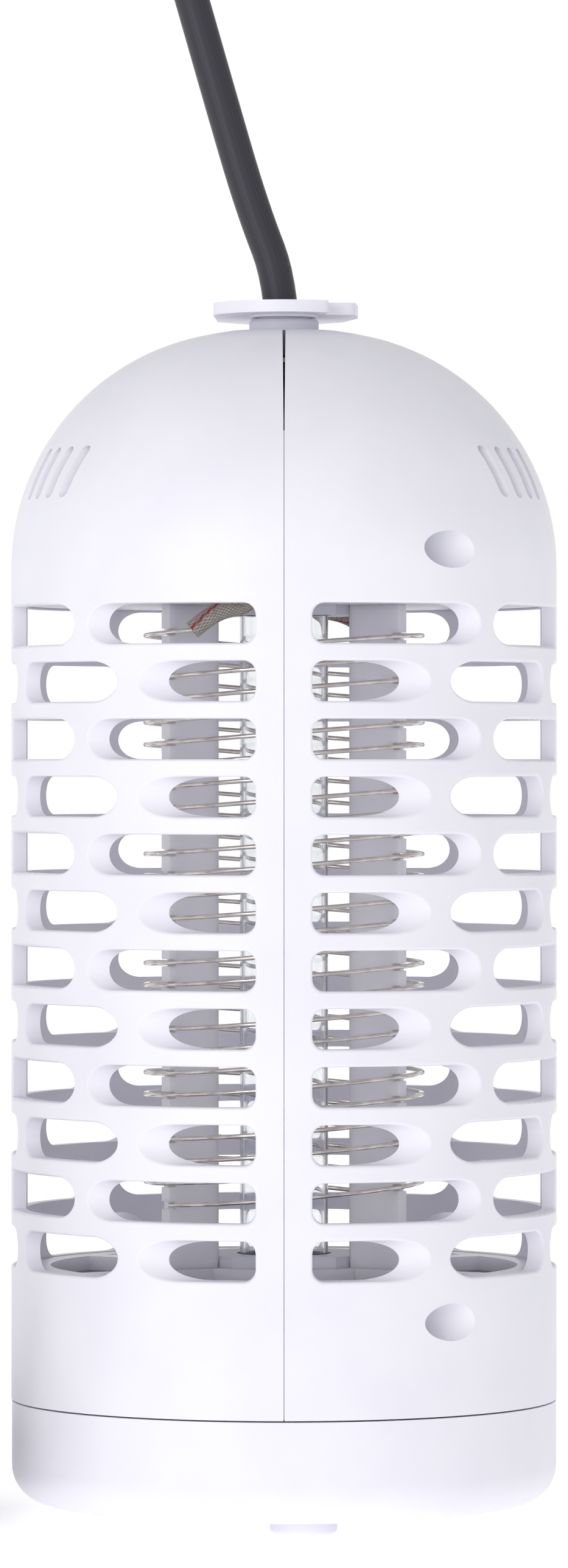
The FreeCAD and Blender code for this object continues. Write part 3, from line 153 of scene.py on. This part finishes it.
def new_material(name, **shader):
    """(material, tree, its shader, a coordinate node), with the shader's plain values set."""
    material = bpy.data.materials.new(name)
    material.use_nodes = True
    tree = material.node_tree
    principled = tree.nodes["Principled BSDF"]
    for socket, value in shader.items():
        principled.inputs[socket.replace("_", " ")].default_value = value
    place = add_node(tree, "ShaderNodeTexCoord")
    return material, tree, principled, place


def feed(tree, principled, colour, relief, rough=None):
    """Links a finish's nodes to its shader: a colour, a bump and, where it has one, a roughness."""
    tree.links.new(colour, principled.inputs["Base Color"])
    tree.links.new(relief.outputs["Normal"], principled.inputs["Normal"])
    if rough:
        tree.links.new(rough.outputs["Result"], principled.inputs["Roughness"])


def colour_ramp(tree, source, stops):
    """A colour ramp over a node's output, with (position, sRGB hex) stops."""
    ramp = add_node(tree, "ShaderNodeValToRGB", {"Fac": source})
    elements = ramp.color_ramp.elements
    while len(elements) < len(stops):
        elements.new(0.5)
    for element, (position, hex_colour) in zip(elements, stops):
        element.position = position
        element.color = linear(hex_colour)
    return ramp


def per_mm(millimetres):
    """The scale that makes a pattern's features about that size."""
    return 1.0 / (millimetres * MM)


def moulded_plastic(name, light, dark, roughness, grain_mm, bump, mottle_mm=18.0, **extra):
    """An injection moulding: faint flow mottling in its colour and a fine spark-eroded grain."""
    material, tree, principled, place = new_material(name, **extra)
    mottle = add_node(tree, "ShaderNodeTexNoise", {
        "Vector": (place, "Object"), "Scale": per_mm(mottle_mm), "Detail": 3.0,
    })
    ramp = colour_ramp(tree, (mottle, "Fac"), [(0.35, dark), (0.65, light)])
    grain = add_node(tree, "ShaderNodeTexNoise", {
        "Vector": (place, "Object"), "Scale": per_mm(grain_mm), "Detail": 2.0,
    })
    rough = add_node(tree, "ShaderNodeMapRange", {
        "Value": (grain, "Fac"), "To Min": roughness - 0.05, "To Max": roughness + 0.06,
    })
    relief = add_node(tree, "ShaderNodeBump", {
        "Height": (grain, "Fac"), "Strength": bump, "Distance": 0.02 * MM,
    })
    feed(tree, principled, ramp.outputs["Color"], relief, rough)
    return material


def drawn_metal(name, light, dark, roughness, stretch, line_mm):
    """A drawn or turned metal: fine lines, closer across the draw than along it."""
    material, tree, principled, place = new_material(name, Metallic=1.0)
    spread = add_node(tree, "ShaderNodeMapping", {"Vector": (place, "Object"), "Scale": stretch})
    lines = add_node(tree, "ShaderNodeTexNoise", {
        "Vector": (spread, "Vector"), "Scale": per_mm(line_mm), "Detail": 4.0,
    })
    ramp = colour_ramp(tree, (lines, "Fac"), [(0.35, dark), (0.65, light)])
    rough = add_node(tree, "ShaderNodeMapRange", {
        "Value": (lines, "Fac"), "To Min": roughness - 0.06, "To Max": roughness + 0.1,
    })
    relief = add_node(tree, "ShaderNodeBump", {
        "Height": (lines, "Fac"), "Strength": 0.25, "Distance": 0.01 * MM,
    })
    feed(tree, principled, ramp.outputs["Color"], relief, rough)
    return material


def quartz_glass():
    """Clear fused quartz: drawn tubing, so almost smooth, with faint lines along the draw."""
    material, tree, principled, place = new_material(
        "DrawnQuartzGlass", Transmission_Weight=1.0, IOR=1.46, Roughness=0.02,
    )
    stretch = add_node(tree, "ShaderNodeMapping", {
        "Vector": (place, "Object"), "Scale": (1.0, 1.0, 0.02),
    })
    lines = add_node(tree, "ShaderNodeTexNoise", {
        "Vector": (stretch, "Vector"), "Scale": per_mm(2.5), "Detail": 1.0,
    })
    relief = add_node(tree, "ShaderNodeBump", {
        "Height": (lines, "Fac"), "Strength": 0.05, "Distance": 0.03 * MM,
    })
    tint = colour_ramp(tree, (lines, "Fac"), [(0.3, "#F4F7FA"), (0.7, "#FFFFFF")])
    feed(tree, principled, tint.outputs["Color"], relief)
    return material


YARNS = 16.0
BAND_PITCH = 3.6 * MM


def woven_glass_fibre():
    """Braided glass-fibre sleeving: crossing off-white yarns 0.6 mm wide, with painted shade in the
    hollows between them, and red tracers.
    """
    material, tree, principled, place = new_material("BraidedGlassFibre", Roughness=0.75)
    # 16 yarns each way around the sleeve
    bands = []
    for turn in (1, -1):
        turned = add_node(tree, "ShaderNodeMapping", {
            "Vector": (place, "UV"), "Scale": (YARNS, YARNS * turn, 1.0),
        })
        split = add_node(tree, "ShaderNodeSeparateXYZ", {"Vector": (turned, "Vector")})
        both = add_node(tree, "ShaderNodeMath", {
            0: (split, "X"), 1: (split, "Y"),
        }, operation="ADD")
        bands.append(add_node(tree, "ShaderNodeMath", {
            0: (both, "Value"), 1: 0.5,
        }, operation="PINGPONG"))
    weave = add_node(tree, "ShaderNodeMath", {
        0: (bands[0], "Value"), 1: (bands[1], "Value"),
    }, operation="ADD")
    fray = add_node(tree, "ShaderNodeTexNoise", {
        "Vector": (place, "Object"), "Scale": per_mm(0.4), "Detail": 3.0,
    })
    height = add_node(tree, "ShaderNodeMath", {
        0: (weave, "Value"), 1: (fray, "Fac"),
    }, operation="MULTIPLY")
    # yarn colour: darker where the weave sinks, which is painted shade in its hollows, and uneven
    # with the fray noise, which is the yarns' own random tone
    yarn_tone_and_hollow_shade = colour_ramp(tree, (height, "Value"), [(0.08, "#8D857B"), (0.45, "#D8D2C8")])
    # two tracers wind slowly round, opposite each other, each as wide as a yarn
    tracer = add_node(tree, "ShaderNodeMapping", {
        "Vector": (place, "UV"), "Scale": (0.35, 1.0, 1.0), "Location": (0.0, 0.1, 0.0),
    })
    split = add_node(tree, "ShaderNodeSeparateXYZ", {"Vector": (tracer, "Vector")})
    both = add_node(tree, "ShaderNodeMath", {0: (split, "X"), 1: (split, "Y")}, operation="ADD")
    near = add_node(tree, "ShaderNodeMath", {0: (both, "Value"), 1: 0.25}, operation="PINGPONG")
    is_red = add_node(tree, "ShaderNodeMath", {0: (near, "Value"), 1: 0.03}, operation="LESS_THAN")
    dashed = add_node(tree, "ShaderNodeMath", {
        0: (bands[0], "Value"), 1: 0.16,
    }, operation="GREATER_THAN")
    red_yarn = add_node(tree, "ShaderNodeMath", {
        0: (is_red, "Value"), 1: (dashed, "Value"),
    }, operation="MULTIPLY")
    mixed = add_node(tree, "ShaderNodeMix", {
        "Factor": (red_yarn, "Value"), "A": (yarn_tone_and_hollow_shade, "Color"), "B": linear("#B03A40"),
    }, data_type="RGBA")
    relief = add_node(tree, "ShaderNodeBump", {
        "Height": (height, "Value"), "Strength": 0.8, "Distance": 0.2 * MM,
    })
    feed(tree, principled, mixed.outputs["Result"], relief)
    return material


def extruded_pvc():
    """Extruded PVC sheath: charcoal, satin, with faint drag lines along its length."""
    material, tree, principled, place = new_material(
        "ExtrudedPvcSheath", Specular_IOR_Level=0.32,
    )
    spread = add_node(tree, "ShaderNodeMapping", {
        "Vector": (place, "UV"), "Scale": (3.0, 60.0, 1.0),
    })
    drag = add_node(tree, "ShaderNodeTexNoise", {
        "Vector": (spread, "Vector"), "Scale": 1.0, "Detail": 3.0,
    })
    grain = add_node(tree, "ShaderNodeTexNoise", {
        "Vector": (place, "Object"), "Scale": per_mm(0.5), "Detail": 2.0,
    })
    ramp = colour_ramp(tree, (drag, "Fac"), [(0.3, "#302E36"), (0.7, "#3E3C46")])
    rough = add_node(tree, "ShaderNodeMapRange", {
        "Value": (grain, "Fac"), "To Min": 0.36, "To Max": 0.5,
    })
    relief = add_node(tree, "ShaderNodeBump", {
        "Height": (grain, "Fac"), "Strength": 0.2, "Distance": 0.02 * MM,
    })
    feed(tree, principled, ramp.outputs["Color"], relief, rough)
    return material


def phenolic_board():
    """Paper phenolic laminate: brown-yellow, fibrous, with tracks under green lacquer."""
    material, tree, principled, place = new_material("PaperPhenolicBoard", Roughness=0.45)
    fibre = add_node(tree, "ShaderNodeTexNoise", {
        "Vector": (place, "Object"), "Scale": per_mm(2.0), "Detail": 5.0,
    })
    base = colour_ramp(tree, (fibre, "Fac"), [(0.35, "#8A6A34"), (0.65, "#A98448")])
    cells = add_node(tree, "ShaderNodeTexVoronoi", {
        "Vector": (place, "Object"), "Scale": per_mm(9.0),
    }, feature="DISTANCE_TO_EDGE")
    track = add_node(tree, "ShaderNodeMapRange", {
        "Value": (cells, "Distance"), "From Min": 0.06, "From Max": 0.08,
    })
    mixed = add_node(tree, "ShaderNodeMix", {
        "Factor": (track, "Result"), "A": linear("#6C7A3C"), "B": (base, "Color"),
    }, data_type="RGBA")
    relief = add_node(tree, "ShaderNodeBump", {
        "Height": (track, "Result"), "Strength": 0.4, "Distance": 0.04 * MM,
    })
    feed(tree, principled, mixed.outputs["Result"], relief)
    return material


def banded_resistor():
    """Lacquered resistor body: tan, with colour bands 3.6 mm apart along its length."""
    material, tree, principled, place = new_material("LacqueredResistor", Roughness=0.3)
    split = add_node(tree, "ShaderNodeSeparateXYZ", {"Vector": (place, "Object")})
    step = add_node(tree, "ShaderNodeMath", {
        0: (split, "X"), 1: BAND_PITCH / 2,
    }, operation="PINGPONG")
    band = colour_ramp(tree, (add_node(tree, "ShaderNodeMapRange", {
        "Value": (step, "Value"), "From Max": BAND_PITCH / 2,
    }), "Result"), [(0.0, "#7A3A22"), (0.24, "#7A3A22"), (0.3, "#B79468"), (1.0, "#C2A277")])
    grain = add_node(tree, "ShaderNodeTexNoise", {
        "Vector": (place, "Object"), "Scale": per_mm(0.8),
    })
    relief = add_node(tree, "ShaderNodeBump", {
        "Height": (grain, "Fac"), "Strength": 0.2, "Distance": 0.03 * MM,
    })
    feed(tree, principled, band.outputs["Color"], relief)
    return material


def make_materials():
    """Every finish, by the record's material slot."""
    return {
        # ABS, satin moulded: lavender-white, soft broad highlights
        "shell": moulded_plastic("MouldedAbs", "#F2F1FA", "#EEEDF7", 0.42, 0.35, 0.25, IOR=1.53),
        # nylon, a little greyer and duller than the shells
        "neck": moulded_plastic("MouldedNylon", "#DEDDE7", "#D4D3DE", 0.5, 0.5, 0.3, IOR=1.53),
        # milky polypropylene of the carriers and posts: light passes through their thin walls
        "carrier": moulded_plastic(
            "MilkyPolypropylene", "#F0EFF8", "#E8E7F2", 0.3, 0.5, 0.2,
            Subsurface_Weight=0.6, Subsurface_Scale=0.006, Subsurface_Radius=(1.0, 1.0, 1.0),
        ),
        # heat-proof polyester of the lamp holders: light grey
        "holder": moulded_plastic("MouldedPolyester", "#E2E1EA", "#D8D8E2", 0.4, 0.4, 0.25),
        "tube_glass": quartz_glass(),
        # drawn aluminium caps: bright, with lines round them
        "cap_aluminium": drawn_metal("DrawnAluminium", "#DADADC", "#C2C2C6", 0.3, (1, 1, 30), 1.5),
        # turned brass pins
        "pin_brass": drawn_metal("TurnedBrass", "#D8B878", "#B8924E", 0.28, (1, 1, 20), 1.0),
        # bright drawn steel wire: hard, near-white highlights with dark edges
        "grid_steel": drawn_metal(
            "BrightDrawnSteelWire", "#EEE9E3", "#D6CFC8", 0.14, (1, 1, 1), 2.5,
        ),
        # zinc-plated steel screws: grey with a slight mottling
        "screw_steel": drawn_metal("ZincPlatedSteel", "#C4C6C8", "#A2A4A8", 0.34, (1, 1, 1), 0.8),
        "sleeve": woven_glass_fibre(),
        "board": phenolic_board(),
        # epoxy-dipped film capacitors: glossy dark red
        "capacitor": moulded_plastic("DippedEpoxy", "#8E2A22", "#7A2019", 0.18, 1.2, 0.35, 4.0),
        # varnished iron core and bobbin: near black, uneven gloss
        "choke": moulded_plastic("VarnishedChoke", "#2C2B2D", "#1E1D20", 0.35, 0.9, 0.5, 3.0),
        # moulded black diode bodies
        "component_black": moulded_plastic(
            "MouldedEpoxyBlack", "#242426", "#1A1A1C", 0.4, 0.6, 0.3,
        ),
        "resistor": banded_resistor(),
        "lead": extruded_pvc(),
        # moulded black PVC of the plug: satin with a fine grain
        "plug": moulded_plastic("MouldedPvcBlack", "#35353A", "#2C2C31", 0.48, 0.4, 0.4, 8.0),
        # nickel-plated brass pins
        "plug_pin": drawn_metal("NickelPlatedBrass", "#DAD8D2", "#C0BEB8", 0.2, (20, 1, 1), 1.0),
    }


def finish_nodes(materials):
    """Gives every node of the model the finish of its material slot."""
    slots = {part["node"]: part["material_slot"] for part in frame["record"]["subparts"]}
    for name, node in frame["nodes"].items():
        finish = materials[slots[name]]
        node.data.materials.clear()
        node.data.materials.append(finish)


# ------------------------------------------------------------------ mains lead

# The lead's route, in millimetres: up through the swivel, over a loose arch and down.
RISING_LEAD = [
    (0.0, 0.0, 199.5),
    (0.0, 0.0, 215.0),
    (-5.6, -0.3, 229.3),
    (-11.2, -0.6, 248.5),
    (-18.2, -2.0, 273.0),
    (-24.3, -5.6, 293.0),
    (-37.3, -13.0, 307.2),
    (-54.9, -22.9, 311.0),
    (-71.4, -32.2, 303.1),
    (-81.8, -38.1, 286.0),
    (-84.5, -40.4, 264.0),
    (-83.5, -41.6, 232.0),
    (-80.5, -41.0, 186.0),
    (-75.0, -43.5, 142.0),
    (-69.0, -46.0, 104.0),
    (-65.5, -47.5, 72.0),
    (-63.0, -47.5, 48.0),
    (-61.5, -38.5, 29.5),
    (-60.5, -23.0, 17.3),
    (-60.0, -4.0, 15.0),
]
# From under the coil to the plug.
LEAD_TAIL = [
    (-98.0, 38.0, 3.0),
    (-116.0, 37.5, 3.0),
    (-131.5, 34.6, 4.7),
    (-147.0, 30.5, 6.9),
]
# The coil as (angle, radius, height): a wide turn on top, a wide and a narrow one under it, and a
# narrow and a wide one on the table. Each move takes 60 degrees and starts 60 degrees earlier in
# its turn than the move before.
COIL_CENTRE = (-98.0, 0.0)
WIDE_TURN, NARROW_TURN = 38.0, 32.0
COIL_STATIONS = [
    (0, WIDE_TURN, 15.0),
    (300, WIDE_TURN, 15.0),
    (360, WIDE_TURN, 9.0),
    (600, WIDE_TURN, 9.0),
    (660, NARROW_TURN, 9.0),
    (900, NARROW_TURN, 9.0),
    (960, NARROW_TURN, 3.0),
    (1200, NARROW_TURN, 3.0),
    (1260, WIDE_TURN, 3.0),
    (1530, WIDE_TURN, 3.0),
]
COIL_STEP = 20


def coil_points():
    """Points of the stored coil's turns, between its stations, with eased moves."""
    points = []
    for angle in range(COIL_STEP, COIL_STATIONS[-1][0], COIL_STEP):
        before, after = next(
            (a, b) for a, b in zip(COIL_STATIONS, COIL_STATIONS[1:]) if a[0] <= angle < b[0]
        )
        share = (angle - before[0]) / (after[0] - before[0])
        eased = share * share * (3 - 2 * share)
        radius = before[1] + (after[1] - before[1]) * eased
        height = before[2] + (after[2] - before[2]) * eased
        turn = math.radians(angle)
        points.append((
            COIL_CENTRE[0] + radius * math.cos(turn),
            COIL_CENTRE[1] + radius * math.sin(turn),
            height,
        ))
    return points


def round_curve(name, line, radius, steps):
    """A round smooth curve along points in millimetres, with that many steps between two."""
    data = bpy.data.curves.new(name, "CURVE")
    data.dimensions = "3D"
    data.bevel_depth = radius
    data.bevel_resolution = 6
    data.resolution_u = steps
    data.use_fill_caps = True
    spline = data.splines.new("NURBS")
    spline.points.add(len(line) - 1)
    for point, place in zip(spline.points, line):
        point.co = (*(value * MM for value in place), 1.0)
    spline.order_u = 3
    spline.use_endpoint_u = True
    return data


def make_lead(finish):
    """One smooth curve from inside the swivel to the plug."""
    line = RISING_LEAD + coil_points() + LEAD_TAIL
    data = round_curve("mains_lead_sheath", line, LEAD_RADIUS, steps=8)
    data.materials.append(finish)
    return add_object("mains_lead_sheath", data)


# ------------------------------------------------------------------------ plug


def finished(name, shape, finish, smooth=True):
    """A bmesh as a piece of the object, riding on the housing."""
    bmesh.ops.recalc_face_normals(shape, faces=shape.faces)
    mesh = bpy.data.meshes.new(name)
    shape.to_mesh(mesh)
    shape.free()
    if smooth:
        mesh.shade_smooth()
    mesh.materials.append(finish)
    piece = add_object(name, mesh)
    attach(piece, "housing")
    return piece


def loft(rings):
    """A closed skin over rings of points, each with the same count, capped at both ends."""
    shape = bmesh.new()
    loops = []
    for ring in rings:
        corners = [shape.verts.new(point) for point in ring]
        loops.append([
            shape.edges.new((a, b)) for a, b in zip(corners, corners[1:] + corners[:1])
        ])
    for first, second in zip(loops, loops[1:]):
        bmesh.ops.bridge_loops(shape, edges=first + second)
    bmesh.ops.contextual_create(shape, geom=loops[0])
    bmesh.ops.contextual_create(shape, geom=loops[-1])
    return shape


RING_POINTS = 40


def rounded_ring(x, y, z, half_width, half_height, power):
    """A superellipse across the X axis."""
    ring = []
    for i in range(RING_POINTS):
        angle = 2 * math.pi * i / RING_POINTS
        side, up = math.cos(angle), math.sin(angle)
        across = math.copysign(abs(side) ** (2 / power), side) * half_width
        rise = math.copysign(abs(up) ** (2 / power), up) * half_height
        ring.append((x, y + across, z + rise))
    return ring


def make_plug(finish):
    """Flat two-pin plug: a ribbed boot on the lead, flaring to a rounded face."""
    low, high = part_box("plug_body")
    middle_y, middle_z = (low[1] + high[1]) / 2, (low[2] + high[2]) / 2
    half_wide, half_thick = (high[1] - low[1]) / 2, (high[2] - low[2]) / 2
    length = high[0] - low[0]
    # along the plug: share of the length, half width, half thickness, squareness of the section
    stations = [
        (0.00, 4.2 * MM, 4.2 * MM, 2.0), (0.03, 4.6 * MM, 4.6 * MM, 2.0),
        (0.08, 4.8 * MM, 4.8 * MM, 2.0), (0.10, 4.1 * MM, 4.1 * MM, 2.0),
        (0.13, 4.1 * MM, 4.1 * MM, 2.0), (0.15, 5.2 * MM, 5.0 * MM, 2.2),
        (0.20, 5.4 * MM, 5.2 * MM, 2.2), (0.22, 4.6 * MM, 4.6 * MM, 2.2),
        (0.25, 4.6 * MM, 4.6 * MM, 2.2), (0.27, 6.4 * MM, 5.8 * MM, 2.6),
        (0.36, 8.2 * MM, 6.4 * MM, 3.0), (0.55, 12.4 * MM, half_thick - 0.2 * MM, 3.6),
        (0.76, half_wide - 1.0 * MM, half_thick, 4.5), (0.86, half_wide, half_thick, 5.0),
        (0.96, half_wide, half_thick, 5.0),
        (0.985, half_wide - 0.5 * MM, half_thick - 0.5 * MM, 5.0),
        (1.00, half_wide - 1.4 * MM, half_thick - 1.4 * MM, 5.0),
    ]
    rings = [
        rounded_ring(high[0] - share * length, middle_y, middle_z, wide, thick, power)
        for share, wide, thick, power in stations
    ]
    piece = finished("plug_moulding", loft(rings), finish)
    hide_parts("plug_body")
    return piece


# -------------------------------------------------------------- woven sleeving

# The middle line of the left sleeve, in millimetres, from the live wire's end up into the carrier.
SLEEVE_LINE = [
    (-15.9, -18.7, 154.8),
    (-13.4, -18.5, 156.9),
    (-10.6, -18.1, 158.4),
    (-7.4, -17.7, 159.0),
    (-5.6, -17.4, 160.4),
    (-5.3, -17.3, 162.4),
]
SLEEVE_RADIUS = 1.6 * MM


def sleeve_mesh(name, line):
    """A tube of sleeving with its own UV map: U along it, V around it."""
    data = round_curve(name, line, SLEEVE_RADIUS, steps=12)
    curve = bpy.data.objects.new(name + "_line", data)
    mesh = bpy.data.meshes.new_from_object(curve)
    bpy.data.objects.remove(curve)
    return mesh


def make_sleeves(finish):
    """The two sleeves, half a turn from each other about the upright axis."""
    for side, turn in (("left", 1), ("right", -1)):
        line = [(turn * x, turn * y, z) for x, y, z in SLEEVE_LINE]
        mesh = sleeve_mesh(f"sleeve_{side}", line)
        mesh.materials.append(finish)
        sleeve = add_object(f"woven_sleeve_{side}", mesh)
        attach(sleeve, "housing")
        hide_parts(f"wire_sleeve_{side}")


# -------------------------------------------------------------------- seam faces

SEAM_DEPTH = 0.35 * MM
SEAM_HALF = 0.09 * MM
SHELL_WALL = 2.6 * MM
SHOULDER_ACROSS = 6.35 * MM
DOME_START = 166.0 * MM
SEAM_ARC = math.radians(33)
SEAM_STEPS = 16
SEAM_FOOT = 0.2 * MM
WELD = 0.001 * MM


def make_seam_faces(finish):
    """Where the two shells meet: their edges touch just under the surface, down to the tray."""
    low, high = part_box("left_shell")
    outside = high[1] - SEAM_DEPTH
    inside = high[1] - SHELL_WALL
    for side, way in (("front", -1), ("rear", 1)):
        shape = bmesh.new()
        ends = [shape.verts.new((-SEAM_HALF, way * y, DOME_START)) for y in (inside, outside)]
        across = shape.edges.new(ends)
        down = bmesh.ops.extrude_edge_only(shape, edges=[across])
        moved = [item for item in down["geom"] if isinstance(item, bmesh.types.BMVert)]
        bmesh.ops.translate(shape, verts=moved, vec=(0, 0, low[2] + SEAM_FOOT - DOME_START))
        bmesh.ops.spin(
            shape, geom=ends + [across], angle=SEAM_ARC, steps=SEAM_STEPS, axis=(way, 0, 0),
            cent=(0, way * SHOULDER_ACROSS, DOME_START),
        )
        bmesh.ops.remove_doubles(shape, verts=shape.verts, dist=WELD)
        thick = bmesh.ops.extrude_face_region(shape, geom=shape.faces[:])
        moved = [item for item in thick["geom"] if isinstance(item, bmesh.types.BMVert)]
        bmesh.ops.translate(shape, verts=moved, vec=(2 * SEAM_HALF, 0, 0))
        faces = finished(f"seam_face_{side}", shape, finish, smooth=False)


# ----------------------------------------------------------------------- floor

FLOOR_SIZE = 6.0
TABLE_GLOW = 0.38


def make_floor():
    """Plain pale table top: opal acrylic, a little lit from below."""
    shape = bmesh.new()
    bmesh.ops.create_grid(shape, x_segments=1, y_segments=1, size=FLOOR_SIZE)
    mesh = bpy.data.meshes.new("Floor")
    shape.to_mesh(mesh)
    shape.free()
    material, tree, principled, place = new_material(
        "OpalAcrylicTable", Roughness=0.8, Emission_Strength=TABLE_GLOW,
    )
    principled.inputs["Emission Color"].default_value = (1.0, 1.0, 1.0, 1.0)
    tone = add_node(tree, "ShaderNodeTexNoise", {"Vector": (place, "Object"), "Scale": 3.0})
    ramp = colour_ramp(tree, (tone, "Fac"), [(0.4, "#FBFBFC"), (0.6, "#FDFDFE")])
    tree.links.new(ramp.outputs["Color"], principled.inputs["Base Color"])
    mesh.materials.append(material)
    add_object("Floor", mesh)


# ---------------------------------------------------------------------- making

make_camera()
make_lights()
materials = make_materials()
finish_nodes(materials)

lead = make_lead(materials["lead"])
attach(lead, "housing")
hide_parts("mains_lead", "mains_lead_tail", "lead_coil")
plug = make_plug(materials["plug"])
make_sleeves(materials["sleeve"])
make_seam_faces(materials["shell"])
make_floor()
